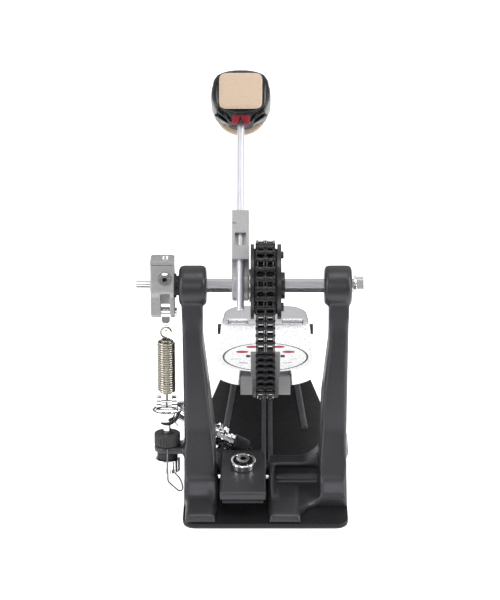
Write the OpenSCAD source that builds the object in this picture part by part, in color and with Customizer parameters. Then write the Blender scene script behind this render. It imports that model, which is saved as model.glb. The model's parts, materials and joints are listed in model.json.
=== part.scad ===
// Bass drum pedal: double-chain cam drive, two-faced beater, extension spring with
// threaded tension rod, hoop clamp, hinged footboard and floor plate.
// X runs along the axle, -Y faces the drum and +Z is up. The origin is on the floor
// under the middle of the axle. Everything is in millimetres.

/* [Axle] */
// Height of the axle above the floor
axle_z = 184; // [180:1:188]
// Size of the hexagonal axle across its flats
axle_af = 10; // [9.6:0.1:10.4]
// Reach of the round stub to the left of the middle
stub_end = 106; // [102:1:110]
// Radius of the round stub
stub_r = 4; // [3.5:0.1:4.4]

/* [Frame] */
// Width of the floor plate under the towers
base_w = 136; // [134:1:142]
// Width of the floor plate along the footboard
tail_w = 82; // [78:1:86]
// Distance from the axle forward to the plate's front edge
base_front = 77; // [77:1:82]
// Distance from the axle back to the plate's rear edge
base_back = 312; // [310:1:318]
// Outer radius of the axle bosses
boss_r = 16.6; // [16:0.2:19]

/* [Beater] */
// Lean of the beater rod from vertical at rest, in degrees
beater_lean = 39; // [34:1:42]
// Distance from the axle to the middle of the beater head, along the rod
head_s = 157; // [150:1:170]
// Radius of the beater rod
rod_r = 3; // [3:0.05:3.4]

/* [Chain] */
// Distance between two chain pins
pitch = 8; // [7.9:0.05:8.05]
// Radius of the chain rollers
roller_r = 2.5; // [2.3:0.1:2.6]

/* [Footboard] */
// Width of the footboard
board_w = 83; // [80:1:86]
// Length from the heel hinge to the tip of the toe
board_len = 256.5; // [254:0.5:257]
// Slope of the footboard at rest, in degrees
board_slope = 13.5; // [13:0.1:14]

/* [Hidden] */
$fn = 64;

// Clearance of a running fit, and the gap kept between free parts
fit = 0.05;
gap = 0.4;

// Floor plate
pad_t = 1.5;
plate_t = 3;
floor_z = pad_t + plate_t;
screw_spots = [[-54, -8], [-54, 12], [54, -8], [54, 12], [-28, 290], [28, 290]];

// Towers and bosses
boss_in = 48;
boss_out = 71;
bearing_r = 13;
race_t = 2;
ball_r = 1.6;
sleeve_r = 8;
ball_n = 10;

// Cam and chain
cam_teeth = 24;
cam_lift = 3.5;
cam_r = pitch / (2 * sin(180 / cam_teeth));
link_step = 360 / cam_teeth;
run_lean = 19.5;
tail_lean = 27;
run_links = 6;
tail_links = 7;
wrap_first = 3;
wrap_last = 10;
strand_x = 3.8;
flange_r = 30.8;
flange_left = [-12.1, -9.3];
flange_right = [9.7, 13];
core_r = cam_r * cos(link_step / 2) - 3.7;
chain_pin_r = 1.15;
run_start = [-cam_r * cos(run_lean), axle_z + cam_lift - cam_r * sin(run_lean)];
run_end = run_start + run_links * pitch * [sin(run_lean), -cos(run_lean)];

// Footboard and heel
hinge_y = 265;
hinge_z = 32.5;
board_top = 6.6;
board_t = 4;
skirt_h = 13;
skirt_t = 3;
toe_depth = 56;
board_end = 9.5;
ring_w = 74.5;
ring_len = 136;
ring_mid = 183.5;
ring_line = 1.6;
inlay_t = 0.6;
hinge_r = 3;
knuckle_r = 6;
toe_pin_s = 58;
toe_pin_off = 9;
bracket_gap = 3.8;

// Beater
rod_x = -20.4;
rod_off = 13;
rod_low = -25.8;
holder_x = [-27.4, -13.4];
holder_top = 59;
holder_low = 17;
hub_r = 12.6;

// Spring gear
spring_x = -82;
spring_tilt = 5.5;
rocker_x = [-94, -74.5];
link_pin_d = 22.6;
eye_d = 35.1;
hook_d = 40.4;
coil_top = 48;
coil_end = 94;
coil_r = 7.5;
wire_r = 0.85;
coil_turns = 25;
low_hook_d = 98.9;
swivel_pin_d = 100.7;
swivel_d = 109;
arm_d = 101.8;
lug_d = [138.3, 143.8];
lug_r = 11;
rod_thread_r = 3.3;
hook_r = 4.4;

// Hoop clamp
clamp_x = -18.6;
jaw_w = 38;
jaw_pivot = [-20, 19];
jaw_slope = 8.2;

// ---------------------------------------------------------------- helpers

// Cylinder along X between two x values.
module tube_x(r, x0, x1) {
    translate([x0, 0, 0]) rotate([0, 90, 0]) cylinder(r = r, h = x1 - x0);
}

// Hexagonal bar along X with one edge facing the drum.
module hex_x(af, x0, x1) {
    translate([x0, 0, 0]) rotate([30, 0, 0]) rotate([0, 90, 0])
        cylinder(r = af / 2 / cos(30), h = x1 - x0, $fn = 6);
}

// Hexagonal bar along Z.
module hex_z(af, h) {
    cylinder(r = af / 2 / cos(30), h = h, $fn = 6);
}

// Box between two corners.
module block(low, high) {
    translate(low) cube(high - low);
}

// Disc along X with rounded rims.
module soft_disc_x(r, x0, x1, round_r) {
    w = x1 - x0;
    translate([x0, 0, 0]) rotate([0, 90, 0]) rotate_extrude() union() {
        translate([0, round_r]) square([r, w - 2 * round_r]);
        square([r - round_r, w]);
        translate([r - round_r, round_r]) circle(round_r);
        translate([r - round_r, w - round_r]) circle(round_r);
    }
}

// Disc along Z with rounded rims, standing on z = 0.
module soft_disc_z(r, h, round_r) {
    rotate_extrude() union() {
        translate([0, round_r]) square([r, h - 2 * round_r]);
        square([r - round_r, h]);
        translate([r - round_r, round_r]) circle(round_r);
        translate([r - round_r, h - round_r]) circle(round_r);
    }
}

// Flat outline in the YZ plane given a thickness along X.
module slab_x(points, x0, x1) {
    translate([x0, 0, 0]) rotate([90, 0, 90]) linear_extrude(x1 - x0) polygon(points);
}

// Flat outline in the XZ plane given a depth along Y.
module slab_y(points, y0, y1) {
    translate([0, y1, 0]) rotate([90, 0, 0]) linear_extrude(y1 - y0) polygon(points);
}

module at_axle() {
    translate([0, 0, axle_z]) children();
}

// Spring frame: -Z runs from the axle down the spring line.
module at_spring(d) {
    at_axle() translate([spring_x, 0, 0]) rotate([-spring_tilt, 0, 0])
        translate([0, 0, -d]) children();
}

// Beater frame: +Z runs up the rod, -Y faces the drum.
module at_rod(s) {
    at_axle() translate([rod_x, 0, 0]) rotate([-beater_lean, 0, 0])
        translate([0, -rod_off, s]) children();
}

// Footboard frame: -Y runs from the heel hinge to the toe.
module at_board() {
    translate([0, hinge_y, hinge_z]) rotate([-board_slope, 0, 0]) children();
}

// Bracket frame: -Z runs down the chain's lower part, +Y points to the heel.
module at_tail() {
    translate([0, run_end[0], run_end[1]]) rotate([tail_lean, 0, 0]) children();
}

// ---------------------------------------------------------------- floor plate

// Half outline of the floor plate, from the front to the rear.
function plate_half(w, t, f, b) = [
    [w / 2 - 10, -f],
    for (a = [-90 : 15 : 0]) [w / 2 - 10 + 10 * cos(a), -f + 10 + 10 * sin(a)],
    [w / 2, 46], [w / 2 - 18, 162], [t / 2, 218],
    for (a = [0 : 15 : 90]) [t / 2 - 10 + 10 * cos(a), b - 10 + 10 * sin(a)]
];

module plate_outline(inset) {
    half = plate_half(base_w - inset, tail_w - inset, base_front - inset / 2,
        base_back - inset / 2);
    polygon(concat(half, [for (i = [len(half) - 1 : -1 : 0]) [-half[i][0], half[i][1]]]));
}

module screw_holes(z0, r, h) {
    for (p = screw_spots) translate([p[0], p[1], z0]) cylinder(r = r, h = h);
}

module base_pad() {
    color("#1c1c1e") difference() {
        linear_extrude(pad_t) plate_outline(1);
        screw_holes(-1, 4.6, pad_t + 2);
    }
}

// Raised rib of width 2r between two points, with chamfered edges.
module plate_rib(from, to, r) {
    d = to - from;
    translate([from[0], from[1], floor_z]) rotate([0, 0, atan2(d[1], d[0]) + 90])
        rotate([90, 0, 0]) linear_extrude(norm(d)) polygon([[-r, -1], [-r, 0.4 * r],
            [-0.5 * r, 0.85 * r], [0.5 * r, 0.85 * r], [r, 0.4 * r], [r, -1]]);
}

module base_plate() {
    color("#202022") difference() {
        union() {
            translate([0, 0, pad_t]) linear_extrude(plate_t) plate_outline(0);
            for (x = [-1.4, 4.4]) plate_rib([x, 50], [x, 250], 1.8);
            for (s = [-1, 1]) plate_rib([35 * s, 105], [27 * s, 235], 2.8);
        }
        screw_holes(0, 2.1, 20);
        for (p = screw_spots) translate([p[0], p[1], pad_t - 0.01])
            cylinder(r1 = 4.2, r2 = 2.1, h = 2.1);
    }
}

module base_screws() {
    color("#8a8c90") for (p = screw_spots) translate([p[0], p[1], pad_t + 0.3]) difference() {
        union() {
            cylinder(r1 = 3.7, r2 = 2, h = 1.7);
            cylinder(r = 2, h = 11);
        }
        translate([0, 0, -1]) hex_z(2.5, 2);
    }
}

// ---------------------------------------------------------------- frame casting

// Side outline of a tower, from the boss down to the foot.
tower_side = [[-12, axle_z], [-13, 150], [-22, 62], [-34, 24], [-46, 14], [-46, floor_z],
    [30, floor_z], [26, 30], [20, 62], [13, 150], [12, axle_z]];
tower_left = [[-69, axle_z], [-67.5, 46], [-68, floor_z], [-42, floor_z], [-42, 49],
    [-51.4, 138], [-51.4, axle_z]];
tower_right = [[69, axle_z], [67.5, 46], [68, floor_z], [44, floor_z], [46, 62], [46.6, 85],
    [52, 138], [52, axle_z]];

module tower(front) {
    intersection() {
        slab_y(front, -60, 60);
        slab_x(tower_side, -100, 100);
    }
}

module boss(side) {
    mirror([side < 0 ? 1 : 0, 0, 0]) at_axle() soft_disc_x(boss_r, boss_in, boss_out, 4);
}

// Low web between the clamp channel and the right tower, with its curved top.
module web() {
    difference() {
        block([2, -12, floor_z], [50, 4, 62]);
        translate([26.5, 0, 48.5]) rotate([90, 0, 0]) cylinder(r = 20, h = 60, center = true);
        block([0, -20, 28.5], [26.6, 10, 80]);
        block([20, -20, 48.5], [46.5, 10, 80]);
        // shallow panel in the front
        block([6.5, -13, 14.5], [60, -9, 24.5]);
    }
}

// Front foot with a sloping top and a low nose.
module foot(x0, x1, top) {
    slab_x([[-75.5, floor_z], [-75.5, 9], [-72, 11.5], [-46, 14], [-30, top], [-20, top],
        [-20, floor_z]], x0, x1);
}

module frame_casting() {
    color("#4c4c50") difference() {
        union() {
            tower(tower_left);
            tower(tower_right);
            boss(-1);
            boss(1);
            web();
            foot(-66, -41, 20);
            foot(3, 29, 14);
            // floor of the casting, with its slanted right front edge
            translate([0, 0, floor_z]) linear_extrude(6) polygon([[-60, -45], [-41, -45],
                [-41, 2], [4, 2], [4, -62], [29, -62], [36, -50], [67, -34], [67, 20],
                [-60, 20]]);
            // cheeks of the clamp channel and the bridge behind it
            slab_x([[-58, floor_z], [-58, 10], [-26, 27], [8, 30], [8, floor_z]], -44.5, -39.4);
            slab_x([[-58, floor_z], [-58, 10], [-24, 27], [8, 27], [8, floor_z]], 2.2, 8);
            block([-44.5, 2, floor_z], [8, 20, 16]);
            // nut block that the winged bolt screws into
            at_wing() translate([0, 0, -22]) cylinder(r = 9, h = 13.7);
            block([-31, 30, floor_z], [-11, 47, 15]);
            block([-44.5, 18, floor_z], [-11, 47, 9]);
            // lug that carries the tension rod
            at_spring(lug_d[1]) {
                block([-1, -lug_r, 0], [15, 11, lug_d[1] - lug_d[0]]);
                cylinder(r = lug_r, h = lug_d[1] - lug_d[0]);
            }
            // ledge on the outside of the right tower
            block([60, -20, 38], [69.5, 14, 45]);
        }
        // bearing seats and clearance for the axle
        for (s = [-1, 1]) at_axle() tube_x(bearing_r, s * 60 - 9, s * 60 + 9);
        at_axle() tube_x(9.5, -80, 80);
        // rod hole, jaw pin hole and clamp bolt hole
        at_spring(lug_d[1] + 1) cylinder(r = rod_thread_r + fit, h = 20);
        translate([0, jaw_pivot[0], jaw_pivot[1]]) tube_x(2.5, -43, 6.5);
        at_wing() translate([0, 0, -30]) cylinder(r = 4 + fit, h = 60);
        // slit for the clip's eye, with the clip's pin left standing in it
        translate([clip_x, clip_pivot[0], clip_pivot[1]]) difference() {
            block([-0.9, -5, -8], [0.9, 2.3, 8]);
            tube_x(0.6, -2, 2);
        }
        screw_holes(0, 2.05, 13);
    }
}

// Frame of the winged bolt: +Z points out of the casting along the bolt.
module at_wing() {
    translate([-36.3, 38.5, 26.5]) rotate([0, -60, 0]) children();
}

// ---------------------------------------------------------------- axle and bearings

module bearing_outer() {
    color("#b9bcc0") for (s = [-1, 1]) at_axle() difference() {
        tube_x(bearing_r, s * 60 - 8, s * 60 + 8);
        tube_x(bearing_r - race_t, s * 60 - 9, s * 60 + 9);
    }
}

module bearing_balls() {
    mid = (bearing_r - race_t + sleeve_r) / 2;
    color("#d8dadd") for (s = [-1, 1], i = [0 : ball_n - 1]) at_axle()
        rotate([i * 360 / ball_n, 0, 0]) translate([s * 60, mid, 0]) sphere(ball_r - 0.15);
}

module bearing_inner() {
    color("#c4c7ca") for (s = [-1, 1]) at_axle() difference() {
        tube_x(sleeve_r - 0.1, s * 60 - 8, s * 60 + 8);
        hex_x(axle_af, s * 60 - 9, s * 60 + 9);
    }
}

module axle() {
    color("#c9cbd0") at_axle() union() {
        hex_x(axle_af, rocker_x[0], 72.4);
        tube_x(stub_r, -stub_end, rocker_x[0] + 1);
        tube_x(4, 72, 80.5);
    }
}

module axle_nut() {
    color("#c9cbd0") at_axle() difference() {
        union() {
            hex_x(13, 74.2, 80.5);
            tube_x(8, 72.4, 74.2);
        }
        tube_x(4, 70, 82);
    }
}

module axle_spacer() {
    color("#1d1d1f") at_axle() difference() {
        union() {
            tube_x(10, -74.4, -73);
            tube_x(8.2, -73, -68.2);
        }
        hex_x(axle_af, -80, -60);
    }
}

// ---------------------------------------------------------------- cam and chain

module at_cam() {
    translate([0, 0, axle_z + cam_lift]) children();
}

module sprocket_cam() {
    hub = [-12.1, 16];
    color("#1b1b1c") difference() {
        union() {
            at_cam() {
                tube_x(flange_r, flange_left[0], flange_left[1]);
                tube_x(flange_r, flange_right[0], flange_right[1]);
                tube_x(core_r - 1.5, flange_left[1], flange_right[0]);
            }
            at_axle() tube_x(11, hub[0], hub[1]);
        }
        at_axle() hex_x(axle_af, -30, 30);
        cam_screw_holes(1.6);
        anchor_pocket();
    }
}

// Space in the cam's rim for the block that holds the end of the chain.
module anchor_pocket() {
    at_pin(wrap_last) block([flange_left[1], -5, -6.5], [flange_right[0], 5, 0]);
}

module cam_liner() {
    color("#3a3a3c") difference() {
        at_cam() difference() {
            tube_x(core_r, flange_left[1], flange_right[0]);
            tube_x(core_r - 1.5, flange_left[1] - 1, flange_right[0] + 1);
        }
        anchor_pocket();
    }
}

// Angles of the three screws in the right flange.
cam_screw_angles = [-100, -135, 60];

module cam_screw_holes(r) {
    for (a = cam_screw_angles) at_cam() rotate([a, 0, 0]) translate([0, 22, 0])
        tube_x(r, flange_right[0] - 6, flange_right[1] + 1);
}

module cam_screws() {
    color("#2b2b2d") for (a = cam_screw_angles) at_cam() rotate([a, 0, 0])
        translate([flange_right[1], 22, 0]) difference() {
            union() {
                tube_x(3, 0, 2);
                tube_x(1.55, -8, 0.5);
            }
            translate([1, 0, 0]) hex_x(2.5, 0, 2);
        }
}

module cam_ring() {
    color("#a6a6a4") at_axle() difference() {
        tube_x(13.5, -13.3, -12.2);
        hex_x(axle_af, -20, 0);
    }
}

// Place on the cam's pitch circle: +Z points outwards, +Y along the chain to the next pin.
function pin_angle(k) = -run_lean + k * link_step;
module at_pin(k) {
    at_cam() rotate([90 - pin_angle(k), 0, 0]) translate([0, 0, cam_r]) children();
}

// Centre of pin k on the cam, as [y, z].
function pin_at(k) = [-cam_r * cos(pin_angle(k)), axle_z + cam_lift + cam_r * sin(pin_angle(k))];

// Link from point a to point b, each a [y, z] pair. Its +Y runs from a to b.
module at_link(a, b) {
    d = b - a;
    translate([0, a[0], a[1]]) rotate([atan2(d[1], d[0]), 0, 0]) children();
}

// Waisted side plate of a link.
module link_plate(x0, x1, r) {
    tube_x(r, x0, x1);
    translate([0, pitch, 0]) tube_x(r, x0, x1);
    block([x0, 0, -r * 0.72], [x1, pitch, r * 0.72]);
}

module inner_link() {
    for (s = [-1, 1]) difference() {
        union() {
            for (t = [-1, 1]) link_plate(s * strand_x + t * 2.5 - 0.45,
                s * strand_x + t * 2.5 + 0.45, 3.5);
            for (y = [0, pitch]) translate([0, y, 0])
                tube_x(roller_r, s * strand_x - 2.1, s * strand_x + 2.1);
        }
        for (y = [0, pitch]) translate([0, y, 0]) tube_x(chain_pin_r + fit, -20, 20);
    }
}

// The last link of the outer kind before an open pivot leaves its far pin out.
module outer_link(pins) {
    difference() {
        union() {
            for (s = [-1, 1]) link_plate(s * 7.35 - 0.4, s * 7.35 + 0.4, 3.3);
            link_plate(-0.7, 0.7, 3.3);
            for (i = [0, 1]) if (pins[i] == 1) translate([0, i * pitch, 0])
                tube_x(chain_pin_r, -8.15, 8.15);
        }
        for (i = [0, 1]) if (pins[i] == 0) translate([0, i * pitch, 0])
            tube_x(chain_pin_r, -20, 20);
    }
}

module chain_link(a, b, outer, pins = [1, 1]) {
    at_link(a, b) if (outer) outer_link(pins); else inner_link();
}

// Links that stay on the cam, from the first fixed pin to the anchored one.
module chain_wrap() {
    color("#161617") for (k = [wrap_first : wrap_last - 1])
        chain_link(pin_at(k + 1), pin_at(k), (k - wrap_first) % 2 == 0);
}

module chain_link_1() {
    color("#161617") chain_link(pin_at(1), pin_at(0), false);
}

module chain_link_2() {
    color("#161617") chain_link(pin_at(2), pin_at(1), true);
}

module chain_link_3() {
    color("#161617") chain_link(pin_at(3), pin_at(2), false);
}

module chain_run() {
    d = pitch * [sin(run_lean), -cos(run_lean)];
    color("#161617") for (i = [0 : run_links - 1])
        chain_link(run_start + i * d, run_start + (i + 1) * d, i % 2 == 0);
}

module chain_tail() {
    d = pitch * [sin(tail_lean), -cos(tail_lean)];
    color("#161617") for (i = [0 : tail_links - 1])
        chain_link(run_end + i * d, run_end + (i + 1) * d, i % 2 == 0,
            i == 0 ? [0, 1] : [1, 1]);
}

// Block behind the last link, with the pin that holds it.
module chain_anchor() {
    color("#1b1b1c") at_pin(wrap_last) difference() {
        block([flange_left[1] + 0.1, -4.9, -6.4], [flange_right[0] - 0.1, 4.9, -3.7]);
        translate([0, 0, -7]) cylinder(r = 1.5, h = 10);
    }
}

// ---------------------------------------------------------------- toe and footboard

module toe_bracket() {
    plate = [bracket_gap, bracket_gap + 2.2];
    pin_low = -toe_pin_s - 8;
    color("#8e8e90") at_tail() difference() {
        union() {
            block([-12.2, plate[0], -41], [12.2, plate[1], -9.4]);
            block([-10.6, plate[0], pin_low - 2], [10.6, plate[1], -40]);
            for (s = [-1, 1]) translate([s * 9.6, 0, 0]) {
                block([-0.9, plate[0], pin_low + 2], [0.9, toe_pin_off, -toe_pin_s + 7]);
                translate([0, toe_pin_off, -toe_pin_s]) tube_x(5, -0.9, 0.9);
            }
        }
        translate([0, toe_pin_off, -toe_pin_s]) tube_x(2 + fit, -20, 20);
        for (s = [-1, 1]) translate([s * 4.1, 0, pin_low]) rotate([-90, 0, 0])
            cylinder(r = 1.55, h = 20);
    }
}

module chain_screws() {
    color("#d5d7da") at_tail() for (s = [-1, 1])
        translate([s * 4.1, bracket_gap, -toe_pin_s - 8]) rotate([90, 0, 0]) difference() {
            union() {
                cylinder(r = 3.6, h = 0.8);
                cylinder(r1 = 3.2, r2 = 2.6, h = 2.6);
                translate([0, 0, -3]) cylinder(r = 1.5, h = 4);
            }
            for (a = [0, 90]) rotate([0, 0, a]) block([-2, -0.4, 1.6], [2, 0.4, 3]);
        }
}

module toe_pin() {
    color("#b5b7ba") at_tail() translate([0, toe_pin_off, -toe_pin_s]) tube_x(2, -20.4, 20.4);
}

// Pivot of the toe bracket in world and in footboard coordinates, as [y, z].
toe_pin_at = run_end + toe_pin_s * [sin(tail_lean), -cos(tail_lean)]
    + toe_pin_off * [cos(tail_lean), sin(tail_lean)];
pin_from_hinge = toe_pin_at - [hinge_y, hinge_z];
toe_pin_local = [pin_from_hinge[0] * cos(board_slope) - pin_from_hinge[1] * sin(board_slope),
    pin_from_hinge[0] * sin(board_slope) + pin_from_hinge[1] * cos(board_slope)];

module toe_blocks() {
    low = toe_pin_local[1] - 6.5;
    color("#77777a") at_board() for (s = [-1, 1]) difference() {
        translate([s * 16, 0, 0]) union() {
            block([-5, toe_pin_local[0] - 8, low], [5, toe_pin_local[0] + 8, board_top - board_t - 3]);
            block([-3.5, toe_pin_local[0] - 8, low + 3],
                [3.5, toe_pin_local[0] + 8, board_top - board_t]);
            for (t = [-1, 1]) translate([t * 2.5, toe_pin_local[0] - 8, board_top - board_t - 3.2])
                rotate([-90, 0, 0]) cylinder(r = 2.5, h = 16);
        }
        translate([0, toe_pin_local[0], toe_pin_local[1]]) tube_x(2, -40, 40);
    }
}

// Outline of the footboard, shrunk by a margin, from the hinge end to the round toe.
function board_outline(m) = concat(
    [[board_w / 2 - m, -board_end], [-board_w / 2 + m, -board_end]],
    [for (i = [0 : 32]) let (a = 180 + i * 180 / 32)
        [(board_w / 2 - m) * cos(a), -board_len + toe_depth + (toe_depth - m) * sin(a)]]);

// Oval with the given width and length.
module oval(w, l) {
    polygon([for (i = [0 : 71]) [w / 2 * cos(i * 5), l / 2 * sin(i * 5)]]);
}

module ring_shape(grow) {
    translate([0, -ring_mid, 0]) difference() {
        oval(ring_w + grow, ring_len + grow);
        oval(ring_w - 2 * ring_line - grow, ring_len - 2 * ring_line - grow);
    }
}

// Middles of the four red dots and of the two small screws, as [x, y] on the board.
dot_r = 5.5;
dot_spots = [[-20.4, -160], [20.4, -160], [-11.7, -134.5], [11.7, -134.5]];
screw_dots = [[-15, -181], [15, -181]];

module footboard() {
    color("#e4e5e8") at_board() difference() {
        union() {
            translate([0, 0, board_top - board_t]) linear_extrude(board_t)
                polygon(board_outline(0));
            translate([0, 0, board_top - skirt_h]) linear_extrude(skirt_h - 1) difference() {
                polygon(board_outline(0));
                translate([0, board_end, 0]) polygon(board_outline(skirt_t));
                polygon(board_outline(skirt_t));
            }
            for (s = [-1, 1]) translate([s * 25.5, 0, 0]) {
                tube_x(knuckle_r, -8.6, 8.6);
                block([-8.6, -16, -knuckle_r + 1], [8.6, 0, knuckle_r]);
            }
        }
        tube_x(hinge_r + fit, -60, 60);
        // notch in the lip for the chain bracket
        block([-21.4, -board_len - 1, -20], [21.4, -board_len + 32, board_top - board_t]);
        // seats of the inlays
        translate([0, 0, board_top - inlay_t]) linear_extrude(2) {
            ring_shape(0.04);
            for (p = dot_spots) translate(p) circle(dot_r + 0.02);
        }
        for (p = screw_dots) translate([p[0], p[1], 0]) cylinder(r = 1.5, h = 20);
    }
}

module board_ring() {
    color("#26262a") at_board() translate([0, 0, board_top - inlay_t])
        linear_extrude(inlay_t + 0.1) ring_shape(0);
}

module board_dots() {
    color("#b3122e") at_board() for (p = dot_spots)
        translate([p[0], p[1], board_top - inlay_t]) cylinder(r = dot_r, h = inlay_t + 0.1);
}

module board_screws() {
    color("#3a3a3d") at_board() for (p = screw_dots)
        translate([p[0], p[1], board_top - 3]) union() {
            cylinder(r = 1.45, h = 3.2);
            translate([0, 0, 3]) cylinder(r1 = 2.2, r2 = 1.7, h = 0.8);
        }
}

module hinge_pin() {
    color("#b5b7ba") translate([0, hinge_y, hinge_z]) tube_x(hinge_r, -43, 43);
}

module hinge_caps() {
    color("#3f3f42") for (s = [-1, 1]) translate([s * 43.2, hinge_y, hinge_z]) difference() {
        tube_x(5, -1.8, 1.8);
        tube_x(hinge_r, s > 0 ? -5 : -0.2, s > 0 ? 0.2 : 5);
    }
}

// Heel plate: a hollow casting on the floor plate that holds the hinge pin.
module heel_block() {
    top = hinge_z + board_top;
    rear = base_back - 4;
    back = [for (a = [0 : 10 : 90]) [20 + 20 * cos(a), rear - 22 + 22 * sin(a)]];
    outline = concat([[40, hinge_y + 9]], back, [for (i = [len(back) - 1 : -1 : 0])
        [-back[i][0], back[i][1]]], [[-40, hinge_y + 9]]);
    color("#e4e5e8") difference() {
        union() {
            translate([0, 0, floor_z]) linear_extrude(top - floor_z) polygon(outline);
            translate([0, hinge_y, hinge_z]) {
                tube_x(knuckle_r, -16.4, 16.4);
                block([-16.4, 0, -knuckle_r], [16.4, 12, board_top]);
                for (s = [-1, 1]) translate([s * 38.2, 0, 0]) {
                    tube_x(knuckle_r, -3, 3);
                    block([-3, 0, -knuckle_r], [3, 14, board_top]);
                }
            }
        }
        translate([0, hinge_y, hinge_z]) tube_x(hinge_r, -60, 60);
        // hollow underneath, open towards the footboard
        for (s = [-1, 1]) translate([s * 18.5, 0, 0])
            block([-15, hinge_y + 8, floor_z + 8], [15, rear - 12, hinge_z - 7]);
        screw_holes(0, 2, 15);
    }
}

// ---------------------------------------------------------------- beater

module beater_holder() {
    w = holder_x[1] - holder_x[0];
    mid = (holder_x[0] + holder_x[1]) / 2 - rod_x;
    color("#7f7f82") difference() {
        union() {
            at_axle() soft_disc_x(hub_r, holder_x[0], holder_x[1], 1.5);
            at_rod(0) {
                block([mid - w / 2, -6, holder_low], [mid + w / 2, 12, holder_top]);
                block([mid - w / 2, 2, 0], [mid + w / 2, 20, holder_low + 1]);
            }
        }
        at_axle() hex_x(axle_af, -40, 0);
        at_rod(0) {
            translate([0, 0, -40]) cylinder(r = rod_r + fit, h = 120);
            // groove in the hub in front of the axle
            block([-rod_r - 0.3, -20, -40], [rod_r + 0.3, 0, holder_low]);
            // window for the key screw, and its thread
            block([-4.6, -7, 28.5], [4.6, -1.8, 39.5]);
            translate([0, 0, 34]) rotate([-90, 0, 0]) cylinder(r = 2.5, h = 30);
            // saw cut below the cap of the clamp
            block([-10, -7, 47.4], [-rod_r - 0.2, 6, 48]);
        }
    }
}

module holder_screw() {
    color("#c4c6c9") at_rod(34) translate([0, 12, 0]) union() {
        rotate([90, 0, 0]) translate([0, 0, 0.1]) cylinder(r = 2.4, h = 8.3);
        rotate([-90, 0, 0]) cylinder(r = 4, h = 2);
        translate([-2.6, 2, -2.6]) cube([5.2, 6, 5.2]);
    }
}

module beater_rod() {
    color("#cfd1d6") at_rod(0) union() {
        translate([0, 0, rod_low + 1]) cylinder(r = rod_r, h = head_s + 12 - rod_low - 1);
        translate([0, 0, rod_low]) cylinder(r1 = rod_r - 1, r2 = rod_r, h = 1);
    }
}

// Beater head frame: the origin is the middle of the head, -Y its front.
module at_head() {
    at_rod(head_s) children();
}

module beater_core() {
    color("#19191b") at_head() difference() {
        union() {
            translate([0, 0, -17]) cylinder(r = 16.5, h = 38);
            translate([0, 0, 21]) cylinder(r1 = 16.5, r2 = 9, h = 3.6);
            translate([0, 0, -25.8]) cylinder(r1 = 9.5, r2 = 15, h = 8.8);
            block([-17.5, -21, -16], [17.5, 21, 17.5]);
        }
        translate([0, 0, -30]) cylinder(r = rod_r + fit, h = 42.1);
        translate([0, 0, -27]) cylinder(r = 6.2, h = 9.1);
    }
}

// Glossy side shells, left and right of the felts.
shell_side = [[17.8, -15.5], [21, -13.5], [24.9, -6], [24.9, 8], [23.6, 14], [19.5, 19],
    [17.8, 19]];

module beater_shell() {
    color("#121214") at_head() for (s = [0, 1]) mirror([s, 0, 0]) intersection() {
        cylinder(r = 25.3, h = 60, center = true);
        slab_y(shell_side, -18, 18);
    }
}

// Rounded square pad standing along Y.
module felt_pad(w, h, r, t) {
    rotate([90, 0, 0]) linear_extrude(t) union() {
        square([w - 2 * r, h], center = true);
        square([w, h - 2 * r], center = true);
        for (x = [-1, 1], z = [-1, 1]) translate([x * (w / 2 - r), z * (h / 2 - r)]) circle(r);
    }
}

module felt_front() {
    color("#d9c2a8") at_head() translate([0, -21, 0]) felt_pad(35.6, 31, 4, 4.5);
}

module felt_back() {
    color("#d9c2a8") at_head() translate([0, 25.5, 0]) rotate([90, 0, 0])
        cylinder(r = 22, h = 4.5);
}

module beater_insert() {
    color("#9c0f2a") at_head() translate([0, 0, -25]) difference() {
        union() {
            cylinder(r = 6.1, h = 7);
            translate([0, 0, -2.2]) cylinder(r1 = 7.5, r2 = 9.2, h = 1.4);
            translate([0, 0, -0.8]) cylinder(r = 6.1, h = 1);
        }
        translate([0, 0, -10]) cylinder(r = rod_r + fit, h = 30);
    }
}

// ---------------------------------------------------------------- spring gear

module spring_rocker() {
    w = rocker_x[1] - rocker_x[0];
    mid = (rocker_x[0] + rocker_x[1]) / 2;
    color("#8c8c8d") difference() {
        at_spring(0) union() {
            translate([mid - spring_x, 0, 0]) {
                tube_x(13, -w / 2, w / 2);
                block([-w / 2, -11, -link_pin_d], [w / 2, 11, 20]);
                translate([0, 0, -link_pin_d + 3]) tube_x(7.5, -w / 2, w / 2);
            }
        }
        at_axle() hex_x(axle_af, -120, 0);
        // slot for the stirrup, its pin, the cross bolt and the cap screw
        at_spring(link_pin_d + 9) block([-3.9, -20, -3], [3.9, 20, 17.5]);
        at_spring(link_pin_d) tube_x(2, -30, 30);
        at_spring(0) block([-3.9, -20, -20], [3.9, -6.6, -4]);
        at_spring(-9) rotate([90, 0, 0]) cylinder(r = 2.5, h = 60, center = true);
        at_spring(-9) translate([0, -11, 0]) rotate([90, 0, 0]) cylinder(r = 6, h = 5);
        at_spring(-13) cylinder(r = 1.6, h = 30);
    }
}

module rocker_cap() {
    w = rocker_x[1] - rocker_x[0];
    mid = (rocker_x[0] + rocker_x[1]) / 2 - spring_x;
    color("#939394") at_spring(-20.3) difference() {
        union() {
            block([mid - w / 2, -11, 0], [mid + w / 2, 11, 2.4]);
            block([mid - w / 2 + 1, -10, 2.4], [mid + w / 2 - 1, 10, 3.4]);
        }
        translate([0, 0, -1]) cylinder(r = 1.7, h = 10);
    }
}

module rocker_screw() {
    color("#d0d2d5") at_spring(-23.7) difference() {
        union() {
            cylinder(r1 = 3.4, r2 = 2.4, h = 2);
            translate([0, 0, -8]) cylinder(r = 1.55, h = 8.5);
        }
        translate([0, 0, 0.8]) hex_z(2, 2);
    }
}

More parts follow.
